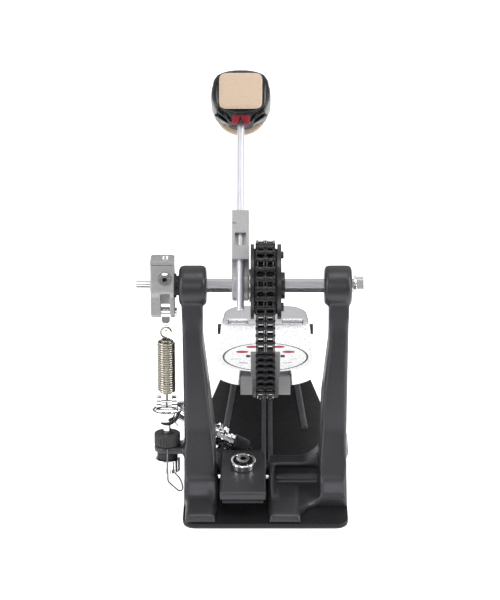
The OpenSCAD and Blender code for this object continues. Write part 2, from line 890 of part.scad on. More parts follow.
module rocker_bolt() {
    color("#8f9195") at_spring(-9) difference() {
        union() {
            translate([0, -11, 0]) rotate([90, 0, 0]) hex_z(8, 4);
            translate([0, -11, 0]) rotate([90, 0, 0]) cylinder(r = 5.6, h = 0.9);
            translate([0, 8, 0]) rotate([90, 0, 0]) cylinder(r = 2.45, h = 20);
        }
        translate([0, -13, 0]) rotate([90, 0, 0]) cylinder(r = 2, h = 4);
    }
}

module rocker_pin() {
    color("#9a9c9f") at_spring(link_pin_d) union() {
        tube_x(2, rocker_x[0] - spring_x - 0.5, rocker_x[1] - spring_x);
        tube_x(3.6, rocker_x[1] - spring_x, rocker_x[1] - spring_x + 2);
    }
}

module spring_stirrup() {
    color("#d4d6d9") at_spring(0) difference() {
        union() {
            translate([0, 0, -link_pin_d]) tube_x(4.2, -3.5, 3.5);
            block([-3.5, -2.2, -29], [3.5, 2.2, -link_pin_d]);
            translate([0, 0, -29]) rotate([90, 0, 0]) cylinder(r = 3.5, h = 4.4, center = true);
            block([-1.2, -2.2, -eye_d], [1.2, 2.2, -30]);
            translate([0, 0, -eye_d]) tube_x(3.9, -1.2, 1.2);
        }
        translate([0, 0, -link_pin_d]) tube_x(2 + fit, -10, 10);
        translate([0, 0, -eye_d]) tube_x(2, -10, 10);
    }
}

// Path of the spring wire in its own frame: upper hook, tapered coil, lower hook.
function coil_bend(u) = coil_r - wire_r - 5 * max(0, 1 - u * 14) - 5 * max(0, 1 - (1 - u) * 14);
spring_path = concat(
    [for (a = [10 : 20 : 270]) [hook_r * cos(a), 0, -hook_d + hook_r * sin(a)]],
    [let (n = coil_turns * 12) for (i = [1 : n - 1]) let (u = i / n, a = -90 + i * 30)
        [coil_bend(u) * cos(a), coil_bend(u) * sin(a) * min(1, u * 40, (1 - u) * 40),
            -(hook_d + hook_r + 0.6) - u * (coil_end - hook_d - hook_r - 0.6)]],
    [for (a = [90 : -20 : -170]) [0, hook_r * cos(a), -low_hook_d + hook_r * sin(a)]]);

// Direction of a path at point i, and the side vectors of its sections, each carried
// over from the one before so that the wire doesn't twist.
function unit(v) = v / norm(v);
function heading(path, i) =
    unit(path[min(i + 1, len(path) - 1)] - path[max(i - 1, 0)]);
function side_vectors(path, i, side, done) = i == len(path) ? done :
    let (t = heading(path, i), n = unit(side - (side * t) * t))
    side_vectors(path, i + 1, n, concat(done, [n]));

// Round wire along a path, closed at both ends. The first side vector is any direction
// that the path doesn't start along.
module wire(path, r, sides, first_side) {
    n = len(path);
    normals = side_vectors(path, 0, first_side, []);
    points = [for (i = [0 : n - 1]) let (b = cross(heading(path, i), normals[i]))
        each [for (k = [0 : sides - 1]) let (a = k * 360 / sides)
            path[i] + r * (cos(a) * normals[i] + sin(a) * b)]];
    walls = [for (i = [0 : n - 2], k = [0 : sides - 1])
        let (a = i * sides + k, b = i * sides + (k + 1) % sides)
        each [[a, b + sides, b], [a, a + sides, b + sides]]];
    caps = [[for (k = [0 : sides - 1]) k],
        [for (k = [sides - 1 : -1 : 0]) (n - 1) * sides + k]];
    polyhedron(points = points, faces = concat(walls, caps));
}

module spring() {
    color("#9c9484") at_spring(0) wire(spring_path, wire_r, 6, [0, 1, 0]);
}

module spring_swivel() {
    color("#d4d6d9") at_spring(0) difference() {
        union() {
            for (s = [-1, 1]) {
                translate([0, 0, -arm_d]) tube_x(6.4, s * 6.35 - 2.05, s * 6.35 + 2.05);
                block([s * 6.35 - 2.05, -4, -swivel_d], [s * 6.35 + 2.05, 4, -arm_d]);
            }
            translate([0, 0, -swivel_d]) tube_x(4.6, -8.4, 8.4);
        }
        translate([0, 0, -swivel_pin_d]) tube_x(1.6, -20, 20);
        translate([0, 0, -swivel_d]) sphere(3.3);
        translate([0, 0, -swivel_d - 12]) cylinder(r = 2.4, h = 12);
    }
}

module swivel_pin() {
    color("#b9bbbe") at_spring(swivel_pin_d) tube_x(1.6, -9, 9);
}

module tension_rod() {
    low = 160.3;
    color("#d4d6d9") at_spring(0) union() {
        translate([0, 0, -swivel_d]) sphere(3.2);
        translate([0, 0, -swivel_d - 8]) cylinder(r = 1.3, h = 6);
        // bowl around the swivel's foot
        translate([0, 0, -swivel_d]) rotate_extrude() polygon([[0, -5.6], [9.3, -5], [10.4, -2],
            [11.2, 1.5], [12.2, 1.5], [11.6, -2], [10.2, -6], [7.4, -9.6], [4.4, -11.6], [0, -12]]);
        translate([0, 0, -low]) cylinder(r = rod_thread_r, h = low - 119);
        // short grip wings below the bowl
        for (s = [0, 1]) mirror([s, 0, 0]) slab_y([[0, -117], [5, -117], [9.6, -122.6],
            [8.6, -124.4], [3, -123.4], [0, -123.4]], -1.6, 1.6);
    }
}

// Knurled disc along Z.
module knurled(r, h, n, depth) {
    difference() {
        soft_disc_z(r, h, 0.8);
        for (i = [0 : n - 1]) rotate([0, 0, i * 360 / n]) translate([r + 0.3, 0, -1])
            cylinder(r = depth, h = h + 2, $fn = 16);
    }
}

module tension_knob() {
    color("#232325") at_spring(lug_d[0] - 0.3) difference() {
        union() {
            knurled(10.85, 10, 28, 0.9);
            cylinder(r = 5, h = 10.8);
        }
        translate([0, 0, -1]) cylinder(r = rod_thread_r + fit, h = 20);
    }
}

module tension_washer() {
    color("#101012") at_spring(lug_d[1] + 6.3) difference() {
        soft_disc_z(8.6, 6.1, 0.5);
        translate([0, 0, -1]) cylinder(r = rod_thread_r + fit, h = 20);
    }
}

module tension_nut() {
    color("#d0d2d5") at_spring(161.4) difference() {
        knurled(10.5, 11, 20, 0.8);
        translate([0, 0, -1]) cylinder(r = rod_thread_r + fit, h = 20);
    }
}

// Wire clip: an eye round the pin in the lug's front edge, then a leg in front of the nut.
clip_x = -81.5;
clip_y = -27;
clip_pivot = [-23.6, 44.9];
clip_eye_r = 1.35;
clip_path = concat(
    [for (a = [-140 : 32 : 180]) [clip_x, clip_pivot[0] + clip_eye_r * cos(a),
        clip_pivot[1] + clip_eye_r * sin(a)]],
    [[clip_x, clip_y + 1.8, 43.4], [clip_x, clip_y + 0.6, 41.6], [clip_x, clip_y, 40],
    [clip_x, clip_y, 32], [clip_x, clip_y, 20], [-80.9, clip_y, 18], [-77.5, clip_y, 14.4],
    [-73.5, clip_y, 10.6], [-72.1, clip_y, 9.8], [-70.5, clip_y, 9.8], [-69.4, clip_y, 11.2],
    [-69.3, clip_y, 13.4], [-69.9, clip_y, 17.4], [-71.9, clip_y, 21.9], [-75.5, clip_y, 26.4]]);

module safety_clip() {
    color("#55575a") wire(clip_path, 0.65, 8, [1, 0, 0]);
}

// ---------------------------------------------------------------- hoop clamp

// Side outline of the lever, from its front lip to its tail.
jaw_side = [[-64, 19.1], [-64, 24.9], [-62.6, 26.5], [-2, 35.2], [0, 34], [0, 31], [-4, 28.5],
    [-12, 25.6], [-14, 16.5], [-26, 16.5], [-28, 25], [-46, 24], [-56, 21.8], [-57, 18.1]];

module clamp_jaw() {
    color("#3c3c40") difference() {
        intersection() {
            slab_x(jaw_side, clamp_x - jaw_w / 2, clamp_x + jaw_w / 2);
            translate([clamp_x, 0, 0]) linear_extrude(60) union() {
                translate([-jaw_w / 2, -70]) square([jaw_w, 62]);
                translate([-jaw_w / 2 + 8, -70]) square([jaw_w - 16, 70]);
                for (s = [-1, 1]) translate([s * (jaw_w / 2 - 8), -8]) circle(8);
            }
        }
        translate([0, jaw_pivot[0], jaw_pivot[1]]) tube_x(2.5 + fit, -60, 60);
        at_cap() translate([0, 0, -6]) cylinder(r = 4, h = 20);
        // seat of the rubber pad under the lip
        block([-60, -65, 10], [60, -56.9, 19.2]);
    }
}

module at_cap() {
    translate([clamp_x, -25, 32]) rotate([jaw_slope, 0, 0]) children();
}

module jaw_pad() {
    color("#141416") block([clamp_x - 17, -63.6, 16.7], [clamp_x + 17, -57.2, 19.1]);
}

module jaw_pin() {
    color("#8f9195") translate([0, jaw_pivot[0], jaw_pivot[1]]) tube_x(2.5, -43, 6.5);
}

module clamp_cap() {
    color("#c9cbce") at_cap() difference() {
        soft_disc_z(10.6, 6, 1);
        translate([0, 0, 4.2]) cylinder(r = 8.2, h = 5);
        translate([0, 0, -1]) cylinder(r = 3.6, h = 20);
    }
}

module clamp_bolt() {
    color("#7c7e82") at_cap() difference() {
        union() {
            translate([0, 0, 4.3]) cylinder(r = 5.6, h = 3.2);
            translate([0, 0, -5]) cylinder(r = 3.5, h = 9.4);
        }
        translate([0, 0, 5]) hex_z(5, 5);
    }
}

module wing_bolt() {
    color("#d6d8db") at_wing() union() {
        // thread, flanges and neck, from the nut block outwards
        translate([0, 0, -20]) cylinder(r = 4, h = 30);
        translate([0, 0, -8]) cylinder(r = 7.5, h = 3);
        translate([0, 0, -5]) cylinder(r = 6.4, h = 5);
        cylinder(r = 10.4, h = 2.4);
        translate([0, 0, 2.4]) cylinder(r = 7.6, h = 4);
        translate([0, 0, 6.4]) cylinder(r = 11, h = 2.2);
        translate([0, 0, 8.6]) cylinder(r1 = 9.5, r2 = 6, h = 7);
        translate([0, 0, 15]) cylinder(r = 6, h = 35);
        // the two wings
        for (s = [-1, 1]) {
            block([s > 0 ? 0 : -7, -1.7, 37], [s > 0 ? 7 : 0, 1.7, 51]);
            translate([s * 7, 1.7, 44]) rotate([90, 0, 0]) cylinder(r = 7, h = 3.4);
        }
    }
}

// ---------------------------------------------------------------- drawing
base_pad();
base_plate();
frame_casting();
base_screws();
bearing_outer();
bearing_balls();
bearing_inner();
axle();
axle_nut();
axle_spacer();
sprocket_cam();
cam_liner();
cam_screws();
cam_ring();
chain_anchor();
chain_wrap();
chain_link_1();
chain_link_2();
chain_link_3();
chain_run();
chain_tail();
chain_screws();
toe_bracket();
toe_pin();
toe_blocks();
footboard();
board_ring();
board_dots();
board_screws();
hinge_pin();
hinge_caps();
heel_block();
beater_holder();
holder_screw();
beater_rod();
beater_core();
beater_shell();
felt_front();
felt_back();
beater_insert();
spring_rocker();
rocker_cap();
rocker_screw();
rocker_bolt();
rocker_pin();
spring_stirrup();
spring();
spring_swivel();
swivel_pin();
tension_rod();
tension_knob();
tension_washer();
tension_nut();
safety_clip();
clamp_jaw();
jaw_pad();
jaw_pin();
clamp_cap();
clamp_bolt();
wing_bolt();
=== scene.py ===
"""Bass drum pedal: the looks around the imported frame.

Most CAD nodes keep their shape and get rounded edges and a material. The castings, the beater
head with its felts, and the spring are built anew here and stand for their nodes.
"""
import json
import math

import bmesh
import bpy
import numpy as np
from mathutils import Matrix, Vector


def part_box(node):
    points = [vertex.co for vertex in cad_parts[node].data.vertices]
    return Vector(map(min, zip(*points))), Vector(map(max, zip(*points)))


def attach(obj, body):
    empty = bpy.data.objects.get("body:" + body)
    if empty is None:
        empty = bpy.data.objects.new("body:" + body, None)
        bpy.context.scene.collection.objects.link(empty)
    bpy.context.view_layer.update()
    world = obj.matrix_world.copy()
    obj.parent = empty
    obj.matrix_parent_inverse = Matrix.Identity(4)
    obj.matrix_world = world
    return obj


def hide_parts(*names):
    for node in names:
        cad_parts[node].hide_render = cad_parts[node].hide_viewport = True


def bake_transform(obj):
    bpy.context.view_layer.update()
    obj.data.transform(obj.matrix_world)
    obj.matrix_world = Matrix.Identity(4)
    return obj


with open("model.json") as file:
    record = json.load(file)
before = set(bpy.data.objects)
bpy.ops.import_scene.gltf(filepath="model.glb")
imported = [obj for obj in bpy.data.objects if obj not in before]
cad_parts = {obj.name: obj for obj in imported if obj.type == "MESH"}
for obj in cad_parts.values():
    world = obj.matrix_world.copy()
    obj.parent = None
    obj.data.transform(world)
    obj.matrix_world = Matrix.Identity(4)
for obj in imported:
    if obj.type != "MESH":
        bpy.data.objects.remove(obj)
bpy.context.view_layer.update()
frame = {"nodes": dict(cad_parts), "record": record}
NODES = frame["nodes"]
JOINTS = {j["name"]: j for j in frame["record"]["behaviour"]["joints"]}
MM = 0.001


# ---------------------------------------------------------------- places taken from the frame

AXLE = Vector(JOINTS["axle_turn"]["pos_m"])
ROD_UP = Vector(JOINTS["beater_side"]["axis"]).normalized()
HEAD = Vector(JOINTS["beater_side"]["pos_m"])
SPRING_UP = Vector(JOINTS["spring_stretch"]["axis"]).normalized()
ACROSS = Vector((1, 0, 0))


def frame_at(origin, up):
    """Matrix whose Z is up, X the axle's direction, and whose -Y faces the drum."""
    back = up.cross(ACROSS).normalized()
    m = Matrix.Identity(4)
    for i, column in enumerate((ACROSS, back, up, origin)):
        m.col[i][:3] = column
    return m


# ---------------------------------------------------------------- camera and studio

VIEW_ELEVATION = math.radians(22.0)
VIEW_DISTANCE = 2.0
LENS = 146.3
SHIFT = (-0.0257, -0.0242)


def make_camera():
    cam = bpy.data.objects.new("camera", bpy.data.cameras.new("camera"))
    bpy.context.collection.objects.link(cam)
    back = Vector((0, -math.cos(VIEW_ELEVATION), math.sin(VIEW_ELEVATION)))
    cam.location = AXLE + back * VIEW_DISTANCE
    cam.rotation_mode = "QUATERNION"
    cam.rotation_quaternion = (-back).to_track_quat("-Z", "Y")
    cam.data.sensor_width = 36.0
    cam.data.lens = LENS
    cam.data.shift_x, cam.data.shift_y = SHIFT
    cam.data.clip_end = 50.0
    bpy.context.scene.camera = cam


def area_light(name, place, target, size, power, color=(1, 1, 1)):
    lamp = bpy.data.lights.new(name, "AREA")
    lamp.shape = "RECTANGLE"
    lamp.size, lamp.size_y = size
    lamp.energy = power
    lamp.color = color
    obj = bpy.data.objects.new(name, lamp)
    bpy.context.collection.objects.link(obj)
    obj.location = place
    direction = Vector(target) - Vector(place)
    obj.rotation_mode = "QUATERNION"
    obj.rotation_quaternion = direction.to_track_quat("-Z", "Y")
    return obj


# Brightness of the surroundings from straight below (0) to straight above (1), and the share
# of it from straight before the object (0) to straight behind it (1).
WORLD_HEIGHT = [(0.50, 0.9), (0.505, 0.30), (0.60, 0.30), (0.70, 1.0), (0.92, 1.0), (1.0, 0.45)]
WORLD_DEPTH = [(0.0, 0.55), (0.38, 0.22), (0.60, 1.0), (0.80, 1.0), (1.0, 0.7)]


def ramp_of(tree, value, stops):
    """Grey ramp over a value that runs from -1 to 1."""
    spread = tree.nodes.new("ShaderNodeMapRange")
    spread.inputs["From Min"].default_value = -1.0
    ramp = tree.nodes.new("ShaderNodeValToRGB")
    elements = ramp.color_ramp.elements
    elements[0].position, elements[1].position = stops[0][0], stops[-1][0]
    elements[0].color = (stops[0][1],) * 3 + (1,)
    elements[1].color = (stops[-1][1],) * 3 + (1,)
    for place, grey in stops[1:-1]:
        elements.new(place).color = (grey, grey, grey, 1)
    tree.links.new(value, spread.inputs["Value"])
    tree.links.new(spread.outputs["Result"], ramp.inputs["Fac"])
    return ramp.outputs["Color"]


def make_world():
    """Studio of dark walls and a bright ceiling behind the object, so that metal has contrast."""
    world = bpy.data.worlds.new("studio")
    bpy.context.scene.world = world
    world.use_nodes = True
    tree = world.node_tree
    tree.nodes.clear()
    coord = tree.nodes.new("ShaderNodeTexCoord")
    split = tree.nodes.new("ShaderNodeSeparateXYZ")
    both = tree.nodes.new("ShaderNodeMix")
    shade = tree.nodes.new("ShaderNodeBackground")
    out = tree.nodes.new("ShaderNodeOutputWorld")
    both.data_type = "RGBA"
    both.blend_type = "MULTIPLY"
    both.inputs["Factor"].default_value = 1.0
    tree.links.new(coord.outputs["Generated"], split.inputs[0])
    tree.links.new(ramp_of(tree, split.outputs["Z"], WORLD_HEIGHT), both.inputs["A"])
    tree.links.new(ramp_of(tree, split.outputs["Y"], WORLD_DEPTH), both.inputs["B"])
    tree.links.new(both.outputs["Result"], shade.inputs["Color"])
    tree.links.new(shade.outputs[0], out.inputs["Surface"])


# Where the floor turns from dark to white, along Y in metres.
FLOOR_FADE = (-0.42, -0.27)


def floor_paint():
    """White and slightly glowing, but dark towards the camera, where metal mirrors it."""
    p = Paint("floor_white", (0.9, 0.9, 0.9), 0.6)
    p.gloss(p.grain(3), 0.57, 0.63)
    split = p.tree.nodes.new("ShaderNodeSeparateXYZ")
    p.link(p.coord, split.inputs[0])
    far = split.outputs["Y"]
    p.tint(far, (0.12, 0.12, 0.12), (0.9, 0.9, 0.9), *FLOOR_FADE)
    p.bsdf.inputs["Emission Color"].default_value = (1, 1, 1, 1)
    p.link(p.mapped(far, 0.0, 0.74, *FLOOR_FADE), p.bsdf.inputs["Emission Strength"])
    return p.mat


def make_studio():
    make_world()
    area_light("left_strip", (-1.25, -0.75, 0.75), (0, 0, 0.16), (0.35, 1.5), 16)
    area_light("right_strip", (1.2, -0.45, 0.7), (0, 0, 0.16), (0.3, 1.4), 16)
    area_light("top", (0.1, -0.25, 1.7), (0, 0.05, 0.1), (1.0, 0.7), 9)
    area_light("front_low", (-0.25, -1.9, 0.9), (0, 0, 0.15), (0.5, 0.6), 4)
    bpy.ops.mesh.primitive_plane_add(size=16, location=(0, 0, -0.0004))
    floor = bpy.context.object
    floor.name = "floor"
    floor.data.materials.append(floor_paint())
    bpy.context.scene.view_settings.view_transform = "Standard"


# ---------------------------------------------------------------- material building

class Paint:
    """A Principled material with colour, roughness and bump from noise in the object's space."""

    def __init__(self, name, color, rough, metal=0.0, **sockets):
        self.mat = bpy.data.materials.new(name)
        self.mat.use_nodes = True
        self.tree = self.mat.node_tree
        self.bsdf = self.tree.nodes["Principled BSDF"]
        self.color = color
        self.rough = rough
        self.bsdf.inputs["Base Color"].default_value = (*color, 1)
        self.bsdf.inputs["Roughness"].default_value = rough
        self.bsdf.inputs["Metallic"].default_value = metal
        for key, value in sockets.items():
            self.bsdf.inputs[key.replace("_", " ")].default_value = value
        self.coord = self.tree.nodes.new("ShaderNodeTexCoord").outputs["Object"]
        self.height = None

    def link(self, a, b):
        self.tree.links.new(a, b)

    def stretched(self, scale):
        """Object coordinates scaled unevenly, for brushed or ribbed detail."""
        node = self.tree.nodes.new("ShaderNodeMapping")
        node.inputs["Scale"].default_value = scale
        self.link(self.coord, node.inputs["Vector"])
        return node.outputs["Vector"]

    def grain(self, scale, detail=4.0, rough=0.55, vector=None):
        node = self.tree.nodes.new("ShaderNodeTexNoise")
        node.inputs["Scale"].default_value = scale
        node.inputs["Detail"].default_value = detail
        node.inputs["Roughness"].default_value = rough
        self.link(vector or self.coord, node.inputs["Vector"])
        return node.outputs["Fac"]

    def cells(self, scale, vector=None, feature="F1"):
        node = self.tree.nodes.new("ShaderNodeTexVoronoi")
        node.feature = feature
        node.inputs["Scale"].default_value = scale
        self.link(vector or self.coord, node.inputs["Vector"])
        return node.outputs["Distance"]

    def mapped(self, value, low, high, start=0.3, end=0.7):
        node = self.tree.nodes.new("ShaderNodeMapRange")
        node.inputs["From Min"].default_value = start
        node.inputs["From Max"].default_value = end
        node.inputs["To Min"].default_value = low
        node.inputs["To Max"].default_value = high
        self.link(value, node.inputs["Value"])
        return node.outputs["Result"]

    def tint(self, value, dark, light, start=0.3, end=0.7):
        """Base colour varies between two colours with a value."""
        node = self.tree.nodes.new("ShaderNodeMix")
        node.data_type = "RGBA"
        node.inputs["A"].default_value = (*dark, 1)
        node.inputs["B"].default_value = (*light, 1)
        self.link(self.mapped(value, 0, 1, start, end), node.inputs["Factor"])
        self.link(node.outputs["Result"], self.bsdf.inputs["Base Color"])
        return self

    def gloss(self, value, low, high, start=0.3, end=0.7):
        self.link(self.mapped(value, low, high, start, end), self.bsdf.inputs["Roughness"])
        return self

    def bump(self, value, distance, strength=1.0):
        node = self.tree.nodes.new("ShaderNodeBump")
        node.inputs["Distance"].default_value = distance
        node.inputs["Strength"].default_value = strength
        self.link(value, node.inputs["Height"])
        if self.height:
            self.link(self.height, node.inputs["Normal"])
        self.height = node.outputs["Normal"]
        self.link(self.height, self.bsdf.inputs["Normal"])
        return self


def scaled(color, factor):
    return tuple(min(1.0, c * factor) for c in color)


def recess_painted_shade():
    """Painted shade: a near-black metal colour for sockets and recesses, standing for the shade in
    them.
    """
    c = (0.018, 0.018, 0.02)
    p = Paint("recess_painted_shade", c, 0.4, 0.7)
    p.tint(p.grain(600), scaled(c, 0.7), scaled(c, 1.4))
    p.gloss(p.grain(300), 0.35, 0.5)
    return p.mat


def casting_paint(name):
    """Dark satin metallic paint over a faintly uneven casting."""
    c = (0.044, 0.044, 0.049)
    p = Paint(name, c, 0.36, 0.55, Specular_IOR_Level=0.4)
    p.tint(p.grain(2600, 2), scaled(c, 0.86), scaled(c, 1.16))
    p.gloss(p.grain(420), 0.31, 0.43)
    p.bump(p.grain(1500, 3), 0.00004)
    p.bump(p.grain(160, 2), 0.00012)
    return p.mat


def powder_black():
    c = (0.007, 0.007, 0.008)
    p = Paint("powder_black", c, 0.42, 0.0, Specular_IOR_Level=0.22)
    p.tint(p.grain(900), scaled(c, 0.8), scaled(c, 1.35))
    p.gloss(p.grain(300), 0.42, 0.55)
    p.bump(p.grain(1400, 2), 0.00005)
    return p.mat


def chrome(name="chrome", tone=(0.86, 0.86, 0.88), rough=0.07):
    p = Paint(name, tone, rough, 1.0)
    p.tint(p.grain(220), scaled(tone, 0.94), scaled(tone, 1.03))
    p.gloss(p.grain(160, 5), rough * 0.7, rough * 1.7)
    p.bump(p.grain(900, 2), 0.000008)
    return p.mat


def ground_steel(name, tone, rough, along=(1, 30, 30)):
    p = Paint(name, tone, rough, 1.0, Anisotropic=0.4)
    lines = p.grain(60, 5, 0.6, p.stretched(along))
    p.tint(lines, scaled(tone, 0.86), scaled(tone, 1.08))
    p.gloss(lines, rough * 0.75, rough * 1.4)
    p.bump(lines, 0.00001)
    return p.mat


def blasted(name, tone, rough=0.5):
    """Bead-blasted cast metal with fine speckle."""
    p = Paint(name, tone, rough, 0.55)
    p.tint(p.grain(3000, 2), scaled(tone, 0.72), scaled(tone, 1.22), 0.35, 0.65)
    p.gloss(p.grain(700), rough - 0.1, rough + 0.1)
    p.bump(p.cells(2200), 0.00003)
    return p.mat


def polished():
    tone = (0.70, 0.70, 0.72)
    p = Paint("polished_aluminium", tone, 0.16, 0.95)
    p.tint(p.grain(90), scaled(tone, 0.97), scaled(tone, 1.02))
    p.gloss(p.grain(60, 6, 0.6, p.stretched((12, 1, 4))), 0.11, 0.22)
    p.bump(p.grain(500, 2), 0.000006)
    return p.mat


def moulded(name, tone, rough, coat=0.0, pits=0.00003):
    p = Paint(name, tone, rough, 0.0, Coat_Weight=coat, Coat_Roughness=0.12,
              Specular_IOR_Level=0.35)
    p.tint(p.grain(260), scaled(tone, 0.8), scaled(tone, 1.25))
    p.gloss(p.grain(180), rough - 0.06, rough + 0.08)
    p.bump(p.grain(1700, 2), pits)
    return p.mat


def satin_rod():
    """Ground rod: bright and even, with faint lengthwise lines."""
    tone = (0.60, 0.60, 0.66)
    p = Paint("satin_rod", tone, 0.38, 0.6)
    lines = p.grain(80, 4, 0.6, p.stretched((30, 2, 2)))
    p.tint(lines, scaled(tone, 0.92), scaled(tone, 1.03))
    p.gloss(lines, 0.32, 0.44)
    p.bump(lines, 0.00001)
    return p.mat


def oiled_steel():
    c = (0.03, 0.03, 0.032)
    p = Paint("oiled_steel", c, 0.32, 0.85)
    p.tint(p.grain(700), scaled(c, 0.5), scaled(c, 2.1))
    p.gloss(p.grain(350), 0.22, 0.45)
    p.bump(p.grain(1200, 2), 0.00002)
    return p.mat


def spring_steel():
    c = (0.42, 0.39, 0.33)
    p = Paint("spring_steel", c, 0.28, 1.0)
    p.tint(p.grain(600), scaled(c, 0.75), scaled(c, 1.2))
    p.gloss(p.grain(300), 0.2, 0.38)
    p.bump(p.grain(1500, 2), 0.00001)
    return p.mat


def felt_cloth():
    c = (0.53, 0.405, 0.30)
    p = Paint("felt_cloth", c, 0.95, 0.0, Sheen_Weight=0.45, Sheen_Roughness=0.5)
    fibres = p.grain(1500, 6, 0.7, p.stretched((1, 1, 1.6)))
    p.tint(fibres, scaled(c, 0.8), scaled(c, 1.14), 0.35, 0.65)
    p.bump(fibres, 0.00035)
    p.bump(p.cells(900), 0.0002, 0.6)
    return p.mat


def rubber(name, tone=(0.02, 0.02, 0.021)):
    p = Paint(name, tone, 0.7)
    p.tint(p.grain(500), scaled(tone, 0.8), scaled(tone, 1.3))
    p.gloss(p.grain(240), 0.62, 0.8)
    p.bump(p.grain(1100, 3), 0.00006)
    return p.mat


def material_of_slot():
    return {
        "pad_rubber": rubber("pad_rubber"),
        "plate_black": powder_black(),
        "casting_grey": casting_paint("casting_paint"),
        "screw_zinc": ground_steel("zinc", (0.55, 0.55, 0.56), 0.35, (1, 1, 1)),
        "bearing_steel": ground_steel("bearing_steel", (0.6, 0.6, 0.61), 0.22),
        "axle_steel": ground_steel("axle_steel", (0.74, 0.74, 0.77), 0.2),
        "chrome": chrome(),
        "spacer_black": moulded("spacer_black", (0.02, 0.02, 0.021), 0.4),
        "cam_black": moulded("cam_black", (0.018, 0.018, 0.018), 0.36, 0.2),
        "liner_dark": rubber("liner_dark", (0.035, 0.035, 0.036)),
        "ring_satin": ground_steel("ring_satin", (0.5, 0.5, 0.49), 0.35, (1, 1, 1)),
        "chain_black": oiled_steel(),
        "screw_bright": chrome("nickel", (0.78, 0.77, 0.75), 0.16),
        "cast_grey": blasted("cast_grey", (0.36, 0.36, 0.365)),
        "polished": polished(),
        "inlay_dark": moulded("inlay_dark", (0.012, 0.012, 0.015), 0.45),
        "dot_red": moulded("dot_red", (0.36, 0.006, 0.03), 0.5, 0.0, 0.00001),
        "shell_black": moulded("shell_black", (0.005, 0.005, 0.0055), 0.28, 0.1),
        "felt": felt_cloth(),
        "insert_red": moulded("insert_red", (0.2, 0.002, 0.014), 0.45),
        "spring_nickel": spring_steel(),
        "knob_black": moulded("knob_black", (0.028, 0.028, 0.029), 0.5),
        "washer_black": rubber("washer_black", (0.01, 0.01, 0.011)),
        "clip_wire": ground_steel("clip_wire", (0.16, 0.16, 0.165), 0.35, (1, 1, 1)),
        "jaw_black": casting_paint("jaw_paint"),
    }


# ---------------------------------------------------------------- mesh building

HEAD_FRAME = frame_at(HEAD, ROD_UP)


def mesh_object(name, verts, faces, place=None, material=None):
    """Smooth-shaded mesh whose points are in millimetres in the frame that place gives."""
    move = (place or Matrix.Identity(4)) @ Matrix.Scale(MM, 4)
    mesh = bpy.data.meshes.new(name)
    mesh.from_pydata([tuple(move @ Vector(v)) for v in verts], [], faces)
    mesh.update()
    bm = bmesh.new()
    bm.from_mesh(mesh)
    bmesh.ops.recalc_face_normals(bm, faces=bm.faces)
    bm.to_mesh(mesh)
    bm.free()
    mesh.shade_smooth()
    obj = bpy.data.objects.new(name, mesh)
    bpy.context.collection.objects.link(obj)
    if material:
        mesh.materials.append(material)
    return obj


def oval(a, b, power, count=72):
    """Superellipse: 2 is an ellipse, higher powers are squarer."""
    points = []
    for i in range(count):
        t = math.tau * i / count
        c, s = math.cos(t), math.sin(t)
        points.append((a * math.copysign(abs(c) ** (2 / power), c),
                       b * math.copysign(abs(s) ** (2 / power), s)))
    return points


def loft(name, rings, place, material, closed=False):
    """Skin over rings that all have the same number of points, with flat ends unless closed."""
    count = len(rings[0])
    verts = [v for ring in rings for v in ring]
    faces = []
    spans = len(rings) if closed else len(rings) - 1
    for r in range(spans):
        low, high = r * count, (r + 1) % len(rings) * count
        for i in range(count):
            j = (i + 1) % count
            faces.append((low + i, low + j, high + j, high + i))
    if not closed:
        faces.append(tuple(range(count - 1, -1, -1)))
        faces.append(tuple(range(len(verts) - count, len(verts))))
    return mesh_object(name, verts, faces, place, material)


def sweep(name, path, radius, place, material, sides=10):
    """Round wire along a path, its section carried along without twist."""
    path = [Vector(p) for p in path]
    rings = []
    side = None
    for i, p in enumerate(path):
        ahead = (path[min(i + 1, len(path) - 1)] - path[max(i - 1, 0)]).normalized()
        if side is None:
            side = ahead.orthogonal()
        side = (side - ahead * side.dot(ahead)).normalized()
        other = ahead.cross(side)
        rings.append([p + radius * (math.cos(math.tau * k / sides) * side
                                    + math.sin(math.tau * k / sides) * other)
                      for k in range(sides)])
    return loft(name, rings, place, material)


def applied(obj, kind, **settings):
    """Adds a modifier and turns its result into the object's mesh."""
    mod = obj.modifiers.new(kind.lower(), kind)
    for key, value in settings.items():
        setattr(mod, key, value)
    graph = bpy.context.evaluated_depsgraph_get()
    mesh = bpy.data.meshes.new_from_object(obj.evaluated_get(graph))
    obj.modifiers.clear()
    obj.data = mesh
    return obj


def cut(obj, name, low, high, place):
    """Takes a box between two corners, in millimetres in the frame that place gives, out of obj."""
    corners = [(x, y, z) for x in (low[0], high[0]) for y in (low[1], high[1])
               for z in (low[2], high[2])]
    faces = [(0, 1, 3, 2), (4, 6, 7, 5), (0, 4, 5, 1), (2, 3, 7, 6), (0, 2, 6, 4), (1, 5, 7, 3)]
    return carve(obj, mesh_object(name, corners, faces, place))


def carve(obj, tool):
    applied(obj, "BOOLEAN", operation="DIFFERENCE", solver="EXACT", object=tool)
    bpy.data.objects.remove(tool)
    return obj


def weighted_normals(obj, weight=50):
    """Flat faces shade flat between rounded edges."""
    normals = obj.modifiers.new("face_normals", "WEIGHTED_NORMAL")
    normals.keep_sharp = True
    normals.weight = weight


def welded_copy(node, name):
    """A copy of a CAD node's mesh with its split corners joined."""
    mesh = NODES[node].data.copy()
    bm = bmesh.new()
    bm.from_mesh(mesh)
    bmesh.ops.remove_doubles(bm, verts=bm.verts, dist=1e-6)
    bm.to_mesh(mesh)
    bm.free()
    obj = bpy.data.objects.new(name, mesh)
    bpy.context.collection.objects.link(obj)
    return obj


def finish_piece(obj, body, slot, *nodes):
    """Hands a finished piece over to its CAD body in place of these nodes."""
    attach(obj, body)
    if nodes:
        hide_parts(*nodes)


# ---------------------------------------------------------------- castings with soft corners

